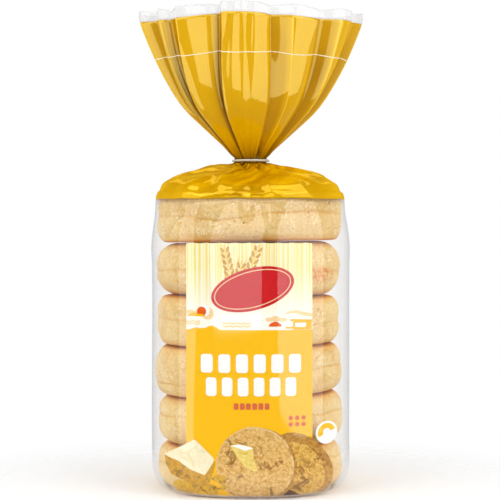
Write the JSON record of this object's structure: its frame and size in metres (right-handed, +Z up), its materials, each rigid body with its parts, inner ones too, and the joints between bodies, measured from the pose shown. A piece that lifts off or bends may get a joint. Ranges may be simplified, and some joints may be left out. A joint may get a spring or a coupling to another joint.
{
  "type": "bag of english muffins",
  "caption": "Stack of round English muffins in a clear film bag, gathered and tied at the neck, with a printed front panel and a flared pleated mouth.",
  "frame": {"origin": "middle of the flat base, at the bottom centre of the whole pack's box", "axes": "+Z up through the neck, the printed front faces -Y, +X to the right of the front"},
  "size_m": [0.1093, 0.094, 0.2334],
  "materials": {
    "clear_film": "clear glossy polypropylene film",
    "printed_film": "glossy film with warm yellow print",
    "muffin_crust": "soft matt baked dough dusted with semolina, golden where it met the griddle",
    "tie_strip": "satin pale plastic"
  },
  "bodies": {
    "root": {"bag": "printed_film", "tie": "tie_strip"}
  },
  "joints": []
}
